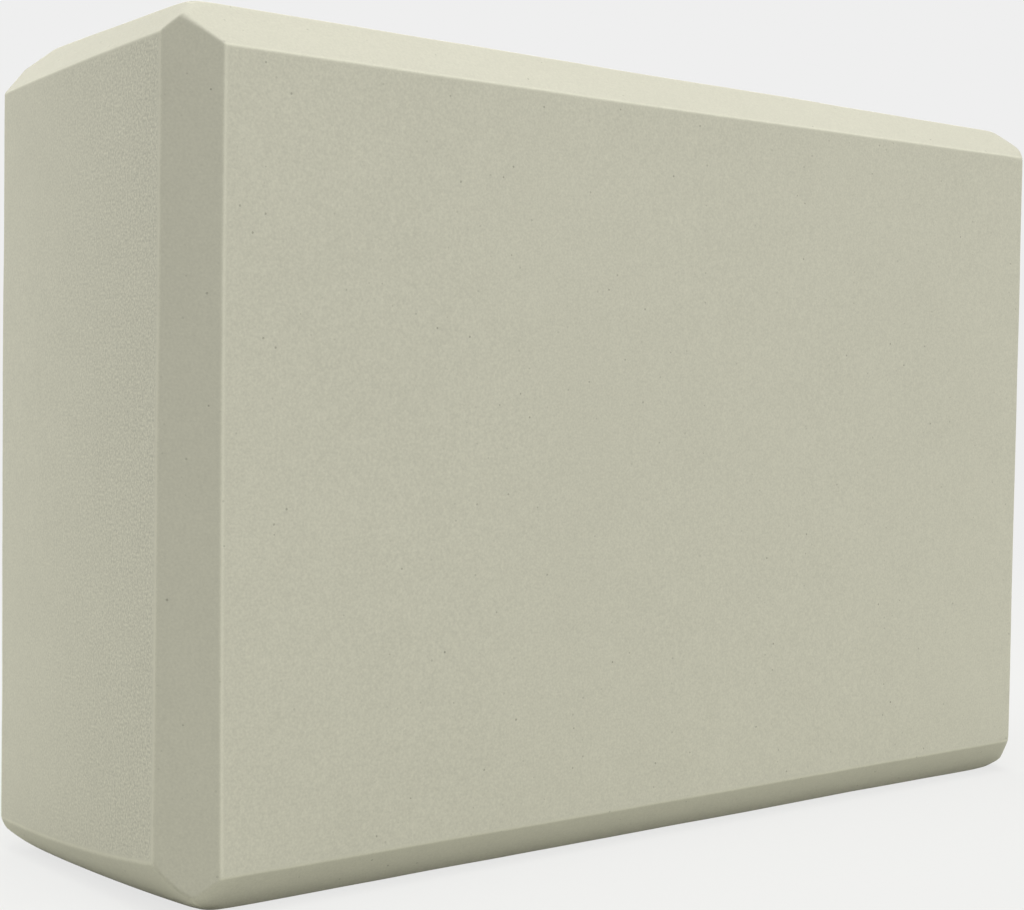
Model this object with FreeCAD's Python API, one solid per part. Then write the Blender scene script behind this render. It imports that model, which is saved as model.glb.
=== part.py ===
import FreeCAD, Part
import os

# Yoga block, cut from one piece of closed-cell foam.
# Millimetres, +Z up. The origin is under the middle of the long side that the block stands on,
# +X runs along its length and +Y through its thickness.

# Overall size
length = 228.6
thickness = 76.2
height = 152.4

# Edge finish: a bevel at 45 degrees along every edge, and a small rounding on every arris
bevel_leg = 7.6
arris_radius = 1.0


def bevelled_section(wide, tall):
    """Corner points of a wide by tall rectangle about zero, with the bevel taken off each corner."""
    side = wide / 2
    top = tall / 2
    inner_side = side - bevel_leg
    inner_top = top - bevel_leg
    return [
        (-inner_side, -top),
        (inner_side, -top),
        (side, -inner_top),
        (side, inner_top),
        (inner_side, top),
        (-inner_side, top),
        (-side, inner_top),
        (-side, -inner_top),
    ]


def planed_bar(corners, run):
    """A bar that carries the closed outline of these corners along the run."""
    outline = Part.makePolygon([*corners, corners[0]])
    return Part.Face(outline).extrude(run)


def bar_along_length():
    """The bar with the block's end as its section: it holds the four bevels that run along X."""
    start = -length / 2
    corners = [FreeCAD.Vector(start, y, z) for y, z in bevelled_section(thickness, height)]
    return planed_bar(corners, FreeCAD.Vector(length, 0, 0))


def bar_through_thickness():
    """The bar with the broad face as its section: it holds the four bevels that run along Y."""
    start = -thickness / 2
    corners = [FreeCAD.Vector(x, start, z) for x, z in bevelled_section(length, height)]
    return planed_bar(corners, FreeCAD.Vector(0, thickness, 0))


def bar_up_height():
    """The bar with the long side as its section: it holds the four bevels that run along Z."""
    start = -height / 2
    corners = [FreeCAD.Vector(x, y, start) for x, y in bevelled_section(length, thickness)]
    return planed_bar(corners, FreeCAD.Vector(0, 0, height))


def foam_block():
    """What the three bars share: six faces, twelve bevels, and three bevels mitred at each corner.
    Each arris, between a face and a bevel or between two bevels, is then rounded."""
    shared = bar_along_length().common(bar_through_thickness()).common(bar_up_height())
    mitred = shared.removeSplitter()
    softened = mitred.makeFillet(arris_radius, mitred.Edges)
    softened.translate(FreeCAD.Vector(0, 0, height / 2))
    return softened.Solids[0]


os.makedirs("parts", exist_ok=True)
block = foam_block()
block.exportStep("parts/foam_block.step")

box = block.BoundBox
print(f"foam_block: {block.ShapeType}, valid {block.isValid()}, {len(block.Faces)} faces")
print(f"size {box.XLength:.3f} x {box.YLength:.3f} x {box.ZLength:.3f} mm, lowest {box.ZMin:.4f} mm")
print(f"volume {block.Volume:.0f} cubic mm, centre {block.CenterOfMass}")
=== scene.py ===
# %% [markdown]
# # A foam yoga block
# The block is one solid piece of firm closed-cell foam, standing on its long side.
# This lesson dresses the measured solid: it makes a skin with the small unevenness of planed foam,
# a foam finish, a pale studio, and a camera. All lengths are in metres, in the solid's own frame.

import math

import bpy
import numpy as np
from mathutils import Matrix, Vector


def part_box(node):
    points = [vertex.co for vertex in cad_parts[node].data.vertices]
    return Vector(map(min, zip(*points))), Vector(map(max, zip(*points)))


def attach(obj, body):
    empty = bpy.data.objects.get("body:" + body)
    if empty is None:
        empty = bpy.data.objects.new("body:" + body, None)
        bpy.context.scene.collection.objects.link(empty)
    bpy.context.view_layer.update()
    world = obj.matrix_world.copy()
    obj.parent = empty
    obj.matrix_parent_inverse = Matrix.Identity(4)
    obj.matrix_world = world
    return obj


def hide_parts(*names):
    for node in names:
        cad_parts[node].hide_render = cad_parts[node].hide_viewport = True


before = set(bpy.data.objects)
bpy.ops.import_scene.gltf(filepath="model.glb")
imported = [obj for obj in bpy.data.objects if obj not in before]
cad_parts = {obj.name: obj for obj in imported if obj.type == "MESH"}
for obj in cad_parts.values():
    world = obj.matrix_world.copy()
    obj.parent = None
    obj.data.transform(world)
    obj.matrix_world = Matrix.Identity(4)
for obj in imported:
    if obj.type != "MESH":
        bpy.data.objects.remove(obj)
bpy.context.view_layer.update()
mm = 0.001
low_corner, high_corner = (np.array(corner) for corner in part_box("foam_block"))
centre = (low_corner + high_corner) / 2
half = (high_corner - low_corner) / 2
print("block half sizes in mm:", (half / mm).round(2))

# %% [markdown]
# ## Bevels that wander a little
# Every edge of the block is planed off at about 45 degrees. The planing is done by eye, so a bevel's width
# changes along its edge, some bevels lean, and two at the base swell a little. A Bevel modifier would
# make them all alike, so three widths are kept here for each edge, and the shape is worked out from them.

# %% Faces and bevels
# A face is an axis and a side of it. A bevel's leg is its reach into its two faces, in millimetres, at the
# low end, the middle and the high end of its edge. A lean of one is 45 degrees.
LEFT, RIGHT = (0, -1), (0, 1)
FRONT, BACK = (1, -1), (1, 1)
BASE, TOP = (2, -1), (2, 1)
FACES = (LEFT, RIGHT, FRONT, BACK, BASE, TOP)
usual_leg = 7.6 * mm
level_legs_mm = {
    (FRONT, TOP): (8.3, 7.7, 6.5),
    (BACK, TOP): (7.5, 7.5, 7.6),
    (LEFT, TOP): (5.9, 7.4, 9.8),
    (RIGHT, TOP): (7.6, 7.6, 7.6),
    (FRONT, BASE): (6.7, 6.7, 7.1),
    (BACK, BASE): (11.0, 9.3, 7.6),
    (LEFT, BASE): (10.4, 6.6, 6.4),
    (RIGHT, BASE): (3.2, 5.4, 7.6),
}
upright_legs_mm = {
    (LEFT, FRONT): (8.3, 7.7, 7.7),
    (LEFT, BACK): (10.0, 9.9, 9.8),
    (RIGHT, FRONT): (6.2, 5.6, 5.0),
    (RIGHT, BACK): (7.6, 7.6, 7.6),
}
bevel_leans = {
    (FRONT, BASE): 1.06,
    (LEFT, FRONT): 0.95,
    (LEFT, BACK): 0.86,
    (RIGHT, FRONT): 1.1,
    (RIGHT, TOP): 1.3,
    (RIGHT, BASE): 1.14,
}
bevel_swells = {(LEFT, BASE): 0.12, (RIGHT, BASE): 0.1}
print(len(FACES), "faces,", len(level_legs_mm), "level and", len(upright_legs_mm), "upright bevels")

# %% [markdown]
# ## Grid lines
# The skin is a grid on each face, and the six grids join in the middle of the bevels. The flats need
# few lines, and the arrises, where a face turns into a bevel, need many. So the lines are spread by a
# density: it is highest at the arris, and a line is set each time the summed density reaches one more.

# %% Lines along one axis
coarse_step = 2.4 * mm
fine_step = 0.2 * mm
arris_spread = 3.6 * mm
density_samples = 20001


def grid_lines(half_side):
    """Places of the lines along one axis, from mid-bevel to mid-bevel, at equal steps of the summed
    density: one line per coarse step, and a bell curve of one line per fine step at the two arrises."""
    rim = half_side - usual_leg / 2
    place = np.linspace(-rim, rim, density_samples)
    from_arris = np.abs(place) - (half_side - usual_leg)
    density = 1 / coarse_step + np.exp(-((from_arris / arris_spread) ** 2)) / fine_step
    summed = np.concatenate([[0], np.cumsum((density[1:] + density[:-1]) / 2 * np.diff(place))])
    return np.interp(np.linspace(0, summed[-1], round(summed[-1]) + 1), summed, place)


lines = [grid_lines(side) for side in half]
print("lines along x, y and z:", [len(line) for line in lines])

# %% [markdown]
# ## One closed grid
# Six separate grids would have to be sewn together. Instead the points are taken as the outside of one
# box lattice, where a point on a border has one number however many faces share it. So the skin is
# closed from the start, with no doubled points.

# %% Number the lattice's outside points and join them into quads


def lattice_outside(lines):
    """The index triple of each lattice point that has a first or last index, and the point's number
    as an array over the whole lattice."""
    counts = np.array([len(line) for line in lines])
    index = np.indices(counts)
    last = (counts - 1).reshape(3, 1, 1, 1)
    outside = ((index == 0) | (index == last)).any(axis=0)
    number = np.full(counts, -1)
    number[outside] = np.arange(outside.sum())
    return index[:, outside].T, number


def lattice_quads(number):
    """Four point numbers for each cell on the six sides of the lattice, turned to face outwards."""
    quads = []
    for axis, side in FACES:
        sheet = number.take(0 if side < 0 else -1, axis=axis)
        cells = np.stack([sheet[:-1, :-1], sheet[1:, :-1], sheet[1:, 1:], sheet[:-1, 1:]], axis=-1)
        faces_out = (side > 0) != (axis == 1)
        quads.append(cells.reshape(-1, 4)[:, :: 1 if faces_out else -1])
    return np.concatenate(quads)


point_index, point_number = lattice_outside(lines)
quads = lattice_quads(point_number)
print(len(point_index), "points and", len(quads), "quads")

# %% [markdown]
# ## The block before softening
# Each lattice point is first set on a plain block with equal, sharp bevels. On a face the point keeps its
# two grid places, and its height falls from the face by as much as it has passed the nearer arris.

# %% Points on the sharp block


def sharp_block(point_index, lines):
    """Points about the block's centre: on each side, the face's distance less the larger of the two
    amounts by which the point lies beyond the arrises of that face."""
    points = np.stack([line[point_index[:, axis]] for axis, line in enumerate(lines)], axis=1)
    beyond = np.clip(np.abs(points) - (half - usual_leg), 0, None)
    for axis, side in FACES:
        on_side = point_index[:, axis] == (0 if side < 0 else len(lines[axis]) - 1)
        drop = np.delete(beyond, axis, axis=1).max(axis=1)
        points[on_side, axis] = side * (half[axis] - drop[on_side])
    return points


sharp_points = sharp_block(point_index, lines)
print("sharp block spans", (np.ptp(sharp_points, axis=0) / mm).round(2), "mm")

# %% [markdown]
# ## Eighteen distances
# The real block is sawn to six faces and then planed to twelve bevels. Cutting a box with twelve wedges
# would copy that, but Boolean cuts leave long thin faces and hard arrises. Here the block is the space
# where eighteen distances are all below zero, six to the faces and twelve to the bevels, because
# distances can be bent along an edge and blended at a corner.

# %% Distances to the faces and bevels


def face_distances(points):
    """Distance of each point outside each of the six faces, and the faces' outward directions."""
    distances = np.stack([side * points[:, axis] - half[axis] for axis, side in FACES])
    outward = np.zeros((len(FACES), len(points), 3))
    for row, (axis, side) in enumerate(FACES):
        outward[row, :, axis] = side
    return distances, outward


def bevel_distances(points, legs_mm):
    """Distance of each point outside each bevel, and the bevels' outward directions. A bevel is the
    plane where the depths below its two faces, each over its leg, add up to one. The leg follows a
    parabola along the edge, and a lean makes the second leg longer and the first one shorter. A swell
    raises the plane between its arrises by a share of the leg: one less the squared difference of those
    two depths, times the swell."""
    distances = np.zeros((len(legs_mm), len(points)))
    outward = np.zeros((len(legs_mm), len(points), 3))
    for row, (faces, (low, middle, high)) in enumerate(legs_mm.items()):
        (first_axis, first_side), (second_axis, second_side) = faces
        along = 3 - first_axis - second_axis
        share = (points[:, along] / half[along] + 1) / 2
        bend = 4 * middle - 2 * low - 2 * high
        leg = (low + (high - low) * share + bend * share * (1 - share)) * mm
        lean = bevel_leans.get(faces, 1.0)
        steepness = math.hypot(lean, 1 / lean)
        first = (half[first_axis] - first_side * points[:, first_axis]) * lean / leg
        second = (half[second_axis] - second_side * points[:, second_axis]) / lean / leg
        swell = bevel_swells.get(faces, 0.0) * np.clip(1 - (first - second) ** 2, 0, None)
        distances[row] = leg * ((1 - first - second) / steepness - swell)
        outward[row, :, first_axis] = first_side * lean / steepness
        outward[row, :, second_axis] = second_side / lean / steepness
    return distances, outward


middle_point = np.zeros((1, 3))
print("middle below the faces, in mm:", (-face_distances(middle_point)[0].ravel() / mm).round(1))
for legs_mm in (level_legs_mm, upright_legs_mm):
    print("below bevels, in mm:", (-bevel_distances(middle_point, legs_mm)[0].ravel() / mm).round(1))

# %% [markdown]
# ## A smooth maximum
# Planed foam has no sharp arris. The largest of the distances would give sharp ones, and a Bevel or
# Smooth modifier would round them all alike. A smooth maximum rounds every arris and corner at once, and
# how round it is may change from place to place.

# %% Round any number of planes into one shape
arris_turn, mitre_turn = 45, 60


def sharpness(radius, turn):
    """Sharpness of the smooth maximum that rounds two planes to the wanted radius, given the turn
    between them in degrees: the cosine of half the turn, over its squared sine and the radius."""
    half_turn = math.radians(turn / 2)
    return math.cos(half_turn) / math.sin(half_turn) ** 2 / radius


def smooth_maximum(distances, outward, sharp):
    """The logarithm of the summed exponentials of the distances, each times the sharpness, over that
    sharpness, and the outward directions mixed in the same shares."""
    nearest = distances.max(axis=0)
    weights = np.exp(sharp * (distances - nearest))
    total = weights.sum(axis=0)
    return nearest + np.log(total) / sharp, np.einsum("pn,pnc->nc", weights / total, outward)


for turn in (arris_turn, mitre_turn):
    print("sharpness per mm for a radius of 1 mm at", turn, "degrees:", round(sharpness(1.0, turn), 2))

# %% [markdown]
# ## Waves left by the saw
# The sawn faces are not quite flat: long shallow waves run through them, about a tenth of a millimetre
# high. A Displace modifier could raise them on the finished skin. Here they are one more term of the shape,
# so that the arrises waver with the faces that they belong to.

# %% Long shallow waves
wave_seed = 11
wave_count = 14
wave_lengths = (9 * mm, 90 * mm)
wave_height = 0.012 * mm


def waves(points):
    """Height of the sawn faces' unevenness: a sum of plane sine waves in random directions."""
    draw = np.random.default_rng(wave_seed)
    directions = draw.normal(size=(wave_count, 3))
    directions /= np.linalg.norm(directions, axis=1, keepdims=True)
    lengths = np.exp(draw.uniform(*np.log(wave_lengths), wave_count))
    phases = draw.uniform(0, 2 * np.pi, wave_count)
    heights = wave_height * lengths / lengths.mean()
    return (np.sin(points @ (directions.T * 2 * np.pi / lengths) + phases) * heights).sum(axis=1)


print("waves reach", (np.abs(waves(sharp_points)).max() / mm).round(3), "mm")

# %% [markdown]
# ## The whole shape
# The arrises are rounded to about half a millimetre, and more at the right end, which is worn. Where two
# bevels meet at a corner of the top or the base, the corner is knocked round, and the mitre below it is
# crisp again. So the level bevels are joined first, with a large radius that shrinks with depth, and the
# upright bevels and the faces come in afterwards, with a small one.

# %% The softened block
arris_radius = 0.6 * mm
worn_radius, worn_length = 3 * mm, 12 * mm
corner_radius, corner_depth, mitre_share = 3.5 * mm, 4 * mm, 0.12


def block_field(points):
    """Distance outside the softened block and its outward direction: the level bevels are joined with
    the corner radius, less of it with depth from the top or the base, then these, the upright bevels and
    the faces with the arris radius, which grows over the worn length to the right end, and the waves'
    height is taken off."""
    depth = half[2] - np.abs(points[:, 2])
    rounded = corner_radius * np.clip(1 - depth / corner_depth, mitre_share, 1)
    worn = np.clip(1 - (half[0] - points[:, 0]) / worn_length, 0, 1)
    softness = arris_radius + (worn_radius - arris_radius) * worn
    level = smooth_maximum(*bevel_distances(points, level_legs_mm), sharpness(rounded, mitre_turn))
    upright = bevel_distances(points, upright_legs_mm)
    face = face_distances(points)
    distances = np.concatenate([face[0], upright[0], level[0][None]])
    outward = np.concatenate([face[1], upright[1], level[1][None]])
    distance, direction = smooth_maximum(distances, outward, sharpness(softness, arris_turn))
    return distance - waves(points), direction


print("sharp points lie up to", (np.abs(block_field(sharp_points)[0]).max() / mm).round(2), "mm off it")

# %% [markdown]
# ## Pulled into shape
# The sharp block's points now move onto the softened block. If each took the shortest way, neighbours could
# swap places at a mitre and fold the skin. So each moves along a ray that fans out from a core, a smaller
# box deep in the foam. Such rays never cross, so the skin stays free of folds.

# %% Pull the sharp block's points onto the softened block
core_depth = 14 * mm
pull_steps = 12


def pulled(points):
    """The points after some steps along their rays: a ray starts at the core's nearest point, and a step
    is the distance outside the block over the outward direction's share along the ray."""
    rays = points - np.clip(points, core_depth - half, half - core_depth)
    rays /= np.linalg.norm(rays, axis=1, keepdims=True)
    for _ in range(pull_steps):
        distance, outward = block_field(points)
        points = points - rays * (distance / (outward * rays).sum(axis=1))[:, None]
    return points


block_points = pulled(sharp_points)
print("left to pull, in mm:", np.abs(block_field(block_points)[0]).max() / mm)

# %% [markdown]
# ## Marks for the finish
# A thin painted highlight runs along each arris and on the mitres of the base, where the rounded arrises
# catch the light. To let the finish draw it, each point carries its distance from the arris: the lead of
# the nearest face over the nearest bevel. That crosses zero evenly on the arris, so it stays true between
# the points. The mitres get the lead of the nearest base bevel over whatever comes next. A third value
# marks the two ends, where the saw
# cuts across the foam: the lead of the nearer end over the other faces and the bevels.

# %% Leads over the next plane
base_legs_mm = {faces: legs for faces, legs in level_legs_mm.items() if BASE in faces}
top_legs_mm = {faces: legs for faces, legs in level_legs_mm.items() if TOP in faces}


def line_values(points):
    """How much nearer, in millimetres, a point is to its nearest face than to its nearest bevel, how far
    the nearest base bevel leads, or is led by, the next plane, and how far the nearer end leads."""
    faces = face_distances(points)[0]
    face = faces.max(axis=0)
    upright = bevel_distances(points, upright_legs_mm)[0].max(axis=0)
    top = bevel_distances(points, top_legs_mm)[0].max(axis=0)
    base = np.sort(bevel_distances(points, base_legs_mm)[0], axis=0)
    bevel = np.maximum(np.maximum(upright, top), base[-1])
    mitre_lead = np.maximum(base[-1] - base[-2], np.maximum(face, upright) - base[-1])
    end_lead = faces[:2].max(axis=0) - np.maximum(faces[2:].max(axis=0), bevel)
    return {"arris_lead": (face - bevel) / mm, "mitre_lead": mitre_lead / mm, "end_lead": end_lead / mm}


point_values = line_values(block_points)
print("largest values:", {label: values.max().round(2) for label, values in point_values.items()})

# %% [markdown]
# ## The skin
# The points, the quads and the marks become one mesh, which stands in for the measured solid. Its place is
# in its points, so the object stays at the origin, and a pattern on its coordinates can't slide. The
# arrises are round in the mesh itself, so plain smooth shading is enough.

# %% Make the mesh


def skin_object(name, points, quads, point_values):
    """A smooth shaded mesh object with these points, quads and named values on its points."""
    mesh = bpy.data.meshes.new(name)
    mesh.from_pydata(points, [], quads)
    mesh.polygons.foreach_set("use_smooth", np.ones(len(quads), bool))
    for label, values in point_values.items():
        layer = mesh.attributes.new(label, "FLOAT", "POINT")
        layer.data.foreach_set("value", values.astype(np.float32))
    made = bpy.data.objects.new(name, mesh)
    bpy.context.scene.collection.objects.link(made)
    return made


foam_skin = skin_object("foam_skin", block_points + centre, quads, point_values)
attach(foam_skin, "root")
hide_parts("foam_block")
print("foam skin:", len(foam_skin.data.polygons), "quads")

# %% [markdown]
# ## The foam finish
# Cut closed-cell foam is matte and nearly even in colour, with small marks that show close by. A picture
# wrapped round the block would stretch over the bevels and show seams. So every mark is worked out from
# its place in the block, as if the block were cut out of a lump of that foam. First come the helpers that
# add nodes and join them up.

# %% Helpers for node trees


def add_node(tree, kind, inputs=None, **settings):
    """Adds a node, makes its settings, and feeds its inputs: each gets a plain value or a socket."""
    made = tree.nodes.new(kind)
    for label, value in settings.items():
        setattr(made, label, value)
    for key, value in (inputs or {}).items():
        if isinstance(value, bpy.types.NodeSocket):
            tree.links.new(value, made.inputs[key])
        else:
            made.inputs[key].default_value = value
    return made


def math_node(tree, operation, first, second=0.0, third=0.0):
    """The output of one arithmetic node."""
    made = add_node(tree, "ShaderNodeMath", {0: first, 1: second, 2: third}, operation=operation)
    return made.outputs["Value"]


def ramp(tree, value, start, end, low=0.0, high=1.0):
    """A smooth step of the value from low at start to high at end."""
    span = {"Value": value, "From Min": start, "From Max": end, "To Min": low, "To Max": high}
    made = add_node(tree, "ShaderNodeMapRange", span, interpolation_type="SMOOTHSTEP")
    return made.outputs["Result"]


foam = bpy.data.materials.new("closed_cell_foam")
foam.use_nodes = True
foam_tree = foam.node_tree
foam_place = add_node(foam_tree, "ShaderNodeTexCoord").outputs["Object"]
print("the foam starts with", len(foam_tree.nodes), "nodes")

# %% [markdown]
# ## Clouds and mottling
# The foam's colour drifts a little over a hand's width, and is mottled over some millimetres. One noise
# with much detail would tie the strengths of the two together, so each has a noise of its own. Both are
# added to a tone of one, which is the factor on the base colour.

# %% Two broad noises
cloud_size, cloud_share = 60 * mm, 0.05
mottle_size, mottle_share = 7 * mm, 0.04


def noise(tree, place, size, detail=2.0):
    """A noise around zero, from about -0.5 to 0.5, with blobs of the given size."""
    wanted = {"Vector": place, "Scale": 1 / size, "Detail": detail}
    made = add_node(tree, "ShaderNodeTexNoise", wanted)
    return math_node(tree, "SUBTRACT", made.outputs["Fac"], 0.5)


cloud = noise(foam_tree, foam_place, cloud_size)
mottle = noise(foam_tree, foam_place, mottle_size)
tone = math_node(foam_tree, "MULTIPLY_ADD", cloud, cloud_share, 1.0)
tone = math_node(foam_tree, "MULTIPLY_ADD", mottle, mottle_share, tone)
print("with clouds and mottling:", len(foam_tree.nodes), "nodes")

# %% [markdown]
# ## Torn ends, with painted shade
# On the two ends the saw cuts across the foam and tears its cells, more towards the front, and towards the
# front the ends are also painted a little darker, as painted shade. A second material for the ends would
# stop hard at their arrises. So the tear and the painted shade share one strength that fades by itself,
# from the mark that the skin's points carry for the ends and from the place through the thickness.

# %% Where the ends are torn and painted darker
tear_and_shade_start, tear_and_shade_end = 30 * mm, -30 * mm
end_fade_mm = 1.0


def point_value(tree, label):
    """A value that the skin's points carry."""
    return add_node(tree, "ShaderNodeAttribute", attribute_name=label).outputs["Fac"]


def end_tear_and_shade(tree, place):
    """From zero at the back to one at the front of the two ends, and zero elsewhere: the strength of the
    tear and of the painted shade.
    """
    through = add_node(tree, "ShaderNodeSeparateXYZ", {0: place}).outputs["Y"]
    on_end = ramp(tree, point_value(tree, "end_lead"), 0.0, end_fade_mm)
    return math_node(tree, "MULTIPLY", ramp(tree, through, tear_and_shade_start, tear_and_shade_end), on_end)


torn_and_shaded = end_tear_and_shade(foam_tree, foam_place)
print("with the torn ends:", len(foam_tree.nodes), "nodes")

# %% [markdown]
# ## Speckle and grain
# Close by the foam shows its cells as a grain about half a millimetre wide, in a coarser speckle. The torn
# ends have more grain, and towards the front they carry a little painted shade. The planed bevels are
# smoother than the sawn faces. Both change the strength of the same noise, so the grain runs on over an
# arris and only grows or fades there.

# %% Fine noises
speckle_size, speckle_share = 1.6 * mm, 0.09
grain_size, grain_share, grain_detail = 0.45 * mm, 0.36, 3.0
# The last share is painted shade, which darkens the ends towards the front.
tear_share, end_painted_shade_share = 0.6, 0.025
planed_share, planed_fade_mm = 0.65, 0.6


def fine_tone(tree, place, grain, torn_and_shaded):
    """Speckle and grain, with more grain where the ends are torn, and less of both on the bevels."""
    strength = math_node(tree, "MULTIPLY_ADD", torn_and_shaded, tear_share, grain_share)
    speckle = math_node(tree, "MULTIPLY", noise(tree, place, speckle_size), speckle_share)
    smoothness = ramp(tree, point_value(tree, "arris_lead"), -planed_fade_mm, 0.0, planed_share, 1.0)
    both = math_node(tree, "MULTIPLY_ADD", grain, strength, speckle)
    return math_node(tree, "MULTIPLY", both, smoothness)


grain = noise(foam_tree, foam_place, grain_size, grain_detail)
tone = math_node(foam_tree, "ADD", fine_tone(foam_tree, foam_place, grain, torn_and_shaded), tone)
# Painted shade: the ends are darkened towards the front.
tone = math_node(foam_tree, "MULTIPLY_ADD", torn_and_shaded, -end_painted_shade_share, tone)
print("with speckle and grain:", len(foam_tree.nodes), "nodes")

# %% [markdown]
# ## Pits and flecks
# Here and there the cut has opened a larger cell, a small pit whose darkness is painted shade, and a few
# pale flecks lie in between. Setting each by hand would take hundreds of points. A cell texture strews them
# evenly through
# the foam, and a strength drawn for each cell leaves only a few that stand out.

# %% Spots strewn through the foam
pit_spacing, pit_radius_share, pit_painted_shade_share = 2.4 * mm, 0.12, 0.36
fleck_spacing, fleck_radius_share, fleck_pale_share = 3.4 * mm, 0.07, 0.07


def spots(tree, place, spacing, radius_share):
    """Round spots: the distance to the nearest of many strewn centres, under a radius, times a strength
    that is drawn for each centre and cubed, so that few spots are strong."""
    cells = add_node(tree, "ShaderNodeTexVoronoi", {"Vector": place, "Scale": 1 / spacing})
    inside = ramp(tree, cells.outputs["Distance"], radius_share, radius_share / 2)
    drawn = add_node(tree, "ShaderNodeSeparateColor", {0: cells.outputs["Color"]}).outputs["Red"]
    return math_node(tree, "MULTIPLY", inside, math_node(tree, "POWER", drawn, 3.0))


pit = spots(foam_tree, foam_place, pit_spacing, pit_radius_share)
fleck = spots(foam_tree, foam_place, fleck_spacing, fleck_radius_share)
# Painted shade darkens the pits, and the relief gives their hollow.
tone = math_node(foam_tree, "MULTIPLY_ADD", pit, -pit_painted_shade_share, tone)
tone = math_node(foam_tree, "MULTIPLY_ADD", fleck, fleck_pale_share, tone)
print("with pits and flecks:", len(foam_tree.nodes), "nodes")

# %% [markdown]
# ## The painted highlight
# The rounded arrises catch the light and show a thin pale line, which is painted into the colour as a
# highlight.
# Pointiness could find the arrises, but it depends on how fine the mesh is. The marks on the points give
# the true distance from the arris in millimetres, and the grain frays the line's edges.

# %% Painted highlight along the arrises
# Painted highlight: the width and strength of the pale line where the arrises catch the light.
highlight_width_mm, highlight_share = 0.36, 0.19


def painted_arris_highlight(tree, grain):
    """The painted highlight: one along the arrises and mitres, with edges that the grain frays."""
    arris = math_node(tree, "ABSOLUTE", point_value(tree, "arris_lead"))
    nearest = math_node(tree, "MINIMUM", arris, point_value(tree, "mitre_lead"))
    return ramp(tree, math_node(tree, "ADD", nearest, grain), highlight_width_mm, 0.0)


# Painted highlight along the arrises and the base mitres.
tone = math_node(foam_tree, "MULTIPLY_ADD", painted_arris_highlight(foam_tree, grain), highlight_share, tone)
print("with the pale line:", len(foam_tree.nodes), "nodes")

# %% [markdown]
# ## Colour, relief and gloss
# The foam is a pale grey green, the same all through, and quite matte. Its cells and pits are too small for
# the mesh, so a Bump node gives them relief. The tone scales the base colour, which keeps its hue, and the
# grain also makes the surface a little more or less rough.

# %% Finish the foam
foam_color = (0.51, 0.50, 0.41)
cell_size, cell_height_mm, pit_depth_mm = 0.5 * mm, 0.012, 0.05
rough_level, rough_share = 0.9, 0.2
specular_level = 0.3


def foam_relief(tree, place, pit):
    """Normal of the relief: the distance from each cell's middle and the pits, both taken off."""
    cells = add_node(tree, "ShaderNodeTexVoronoi", {"Vector": place, "Scale": 1 / cell_size})
    relief = math_node(tree, "MULTIPLY", cells.outputs["Distance"], -cell_height_mm)
    relief = math_node(tree, "MULTIPLY_ADD", pit, -pit_depth_mm, relief)
    return add_node(tree, "ShaderNodeBump", {"Height": relief, "Distance": mm}).outputs["Normal"]


color = add_node(foam_tree, "ShaderNodeVectorMath", {0: foam_color, "Scale": tone}, operation="SCALE")
rough = math_node(foam_tree, "MULTIPLY_ADD", grain, rough_share, rough_level)
shader = foam_tree.nodes["Principled BSDF"]
foam_tree.links.new(color.outputs["Vector"], shader.inputs["Base Color"])
foam_tree.links.new(rough, shader.inputs["Roughness"])
foam_tree.links.new(foam_relief(foam_tree, foam_place, pit), shader.inputs["Normal"])
shader.inputs["Specular IOR Level"].default_value = specular_level
foam_skin.data.materials.append(foam)
print("finished foam:", len(foam_tree.nodes), "nodes")

# %% [markdown]
# ## Floor
# The block stands on a pale floor that takes its soft shadow. A white sheet would need strong lamps to look
# as pale as the background, and would show a horizon. So the floor is a plain matte sheet, the camera sees
# it through a veil of the background's grey, and far away it fades out.

# %% Studio floor
floor_size = 8.0
floor_color = (0.6, 0.605, 0.555, 1.0)
veil_grey = (0.91, 0.91, 0.91, 1.0)
floor_veil_share = 0.8
floor_clear_radius, floor_gone_radius = 0.3, 0.9


def seen_ray(tree):
    """One for rays that show the surroundings directly: from the camera, in gloss or through glass."""
    path = add_node(tree, "ShaderNodeLightPath")
    shiny = math_node(tree, "MAXIMUM", path.outputs["Is Glossy Ray"], path.outputs["Is Transmission Ray"])
    return math_node(tree, "MAXIMUM", path.outputs["Is Camera Ray"], shiny)


def mix_shaders(tree, share, first, second):
    """The first shader, with this share of the second in its place."""
    return add_node(tree, "ShaderNodeMixShader", {0: share, 1: first.outputs[0], 2: second.outputs[0]})


def floor_material():
    """A pale matte floor, partly veiled by the background grey, that fades out with distance."""
    made = bpy.data.materials.new("pale_floor")
    made.use_nodes = True
    tree = made.node_tree
    tree.nodes.clear()
    matte = add_node(tree, "ShaderNodeBsdfDiffuse", {"Color": floor_color})
    veil = add_node(tree, "ShaderNodeEmission", {"Color": veil_grey, "Strength": 1.0})
    near = mix_shaders(tree, math_node(tree, "MULTIPLY", seen_ray(tree), floor_veil_share), matte, veil)
    place = add_node(tree, "ShaderNodeTexCoord").outputs["Object"]
    far = add_node(tree, "ShaderNodeVectorMath", {0: place}, operation="LENGTH").outputs["Value"]
    clear = add_node(tree, "ShaderNodeBsdfTransparent")
    whole = mix_shaders(tree, ramp(tree, far, floor_clear_radius, floor_gone_radius), near, clear)
    add_node(tree, "ShaderNodeOutputMaterial", {"Surface": whole.outputs[0]})
    return made


def flat_sheet(name, side):
    """A level square of the given side about the origin."""
    reach = side / 2
    corners = [(-reach, -reach, 0), (reach, -reach, 0), (reach, reach, 0), (-reach, reach, 0)]
    mesh = bpy.data.meshes.new(name)
    mesh.from_pydata(corners, [], [(0, 1, 2, 3)])
    made = bpy.data.objects.new(name, mesh)
    bpy.context.scene.collection.objects.link(made)
    return made


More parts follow.
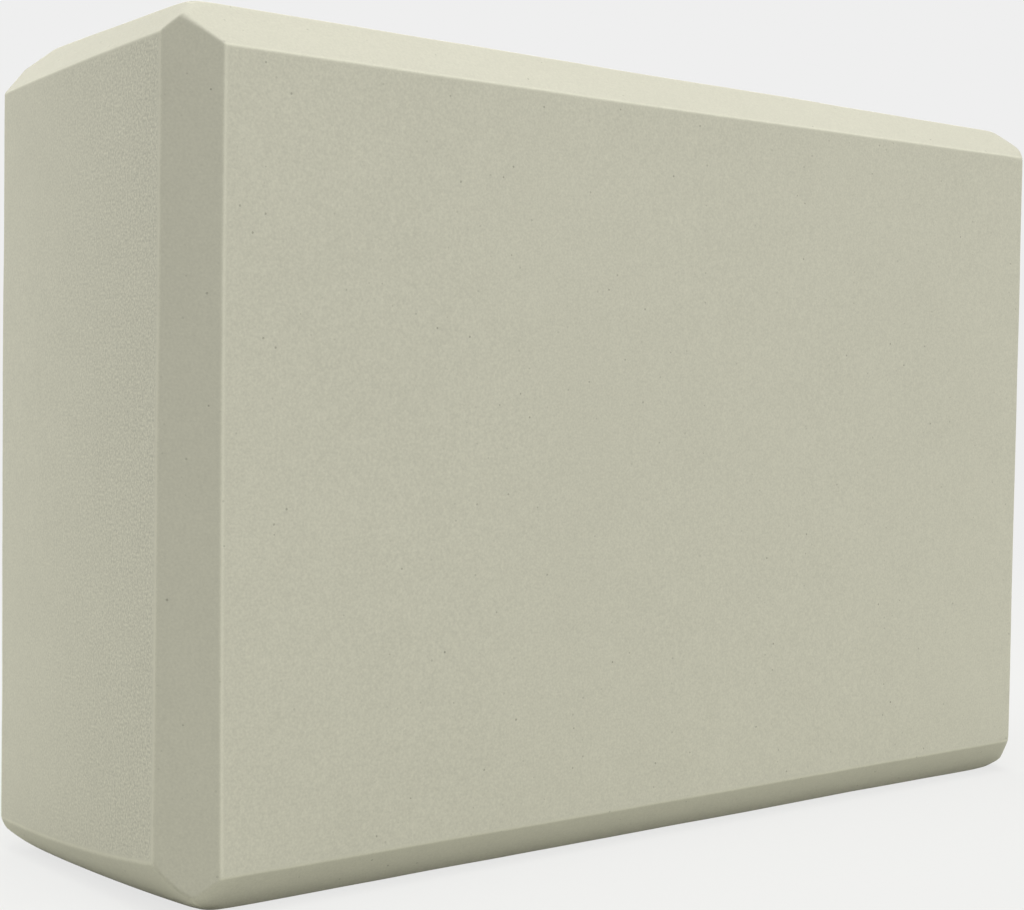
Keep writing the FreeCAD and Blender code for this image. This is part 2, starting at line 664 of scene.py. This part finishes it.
floor = flat_sheet("studio_floor", floor_size)
floor.data.materials.append(floor_material())
print("floor fades out from", floor_clear_radius, "to", floor_gone_radius, "m")

# %% [markdown]
# ## Surroundings
# Behind the block there is only an even pale grey. A backdrop would have to be lit, and its light would
# spill on the block. So the world shows the grey to the camera alone, and to everything else it is a weak
# even light, as from the walls of a room.

# %% Air of the studio
seen_grey = (0.863, 0.863, 0.863, 1.0)
white = (1.0, 1.0, 1.0, 1.0)
ambient_strength = 0.2


def studio_world():
    """Even light from all round, and the pale grey where the surroundings are seen."""
    made = bpy.data.worlds.new("studio_air")
    made.use_nodes = True
    tree = made.node_tree
    tree.nodes.clear()
    glow = add_node(tree, "ShaderNodeBackground", {"Color": white, "Strength": ambient_strength})
    seen = add_node(tree, "ShaderNodeBackground", {"Color": seen_grey, "Strength": 1.0})
    whole = mix_shaders(tree, seen_ray(tree), glow, seen)
    add_node(tree, "ShaderNodeOutputWorld", {"Surface": whole.outputs[0]})
    return made


bpy.context.scene.world = studio_world()
print("surroundings:", bpy.context.scene.world.name)

# %% [markdown]
# ## Soft boxes
# The bevels at the top are the brightest and those at the base the darkest, and no shadow has a hard edge.
# One sun would cut hard edges. Large square lamps do what a studio's soft boxes do: two from above, and
# weaker ones at the left, the right and the back, so that no side is lost in the dark.

# %% Five square lamps


def soft_box(name, place, side, watts):
    """A square lamp of the given side at the place, turned to the block's middle."""
    lamp = bpy.data.lights.new(name, "AREA")
    lamp.shape = "SQUARE"
    lamp.size = side
    lamp.energy = watts
    made = bpy.data.objects.new(name, lamp)
    made.location = place
    made.rotation_euler = (Vector(centre) - Vector(place)).to_track_quat("-Z", "Y").to_euler()
    made.visible_camera = False
    bpy.context.scene.collection.objects.link(made)
    return made


soft_boxes = [
    soft_box("overhead_box", place=(-0.1, -0.1, 1.2), side=0.9, watts=8.6),
    soft_box("front_box", place=(-0.2, -0.6, 1.0), side=0.9, watts=6.6),
    soft_box("left_box", place=(-0.35, 0.32, 0.2), side=0.3, watts=1.06),
    soft_box("right_box", place=(0.8, -1.2, 0.5), side=0.5, watts=6.5),
    soft_box("back_box", place=(0.5, 0.9, 0.6), side=0.6, watts=6.0),
]
print("soft boxes:", {box.name: round(box.data.energy, 2) for box in soft_boxes})

# %% [markdown]
# ## Camera
# The photograph looks at the upright front corner from a little above the block's middle, with a
# moderate long lens and a slight tilt of the horizon. A camera could be aimed at a target, but the tilt
# would still be missing, so it is set by its place and three turns.

# %% Photograph's camera
eye_mm = (-261.1, -303.2, 86.5)
heading_degrees, pitch_degrees, roll_degrees = 39.18, -1.65, 0.78
lens_mm, sensor_mm = 65.16, 36.0

turn = Matrix.Rotation(math.radians(-heading_degrees), 3, "Z")
tip = Matrix.Rotation(math.radians(90 + pitch_degrees), 3, "X")
tilt = Matrix.Rotation(math.radians(roll_degrees), 3, "Z")
camera = bpy.data.objects.new("camera", bpy.data.cameras.new("camera"))
camera.data.lens = lens_mm
camera.data.sensor_width = sensor_mm
camera.data.sensor_fit = "HORIZONTAL"
camera.matrix_world = Matrix.LocRotScale(Vector(eye_mm) * mm, turn @ tip @ tilt, None)
bpy.context.scene.collection.objects.link(camera)
bpy.context.scene.camera = camera
bpy.context.scene.view_settings.view_transform = "Standard"
print("camera:", camera.data.lens, "mm lens at", camera.location.to_tuple(4))
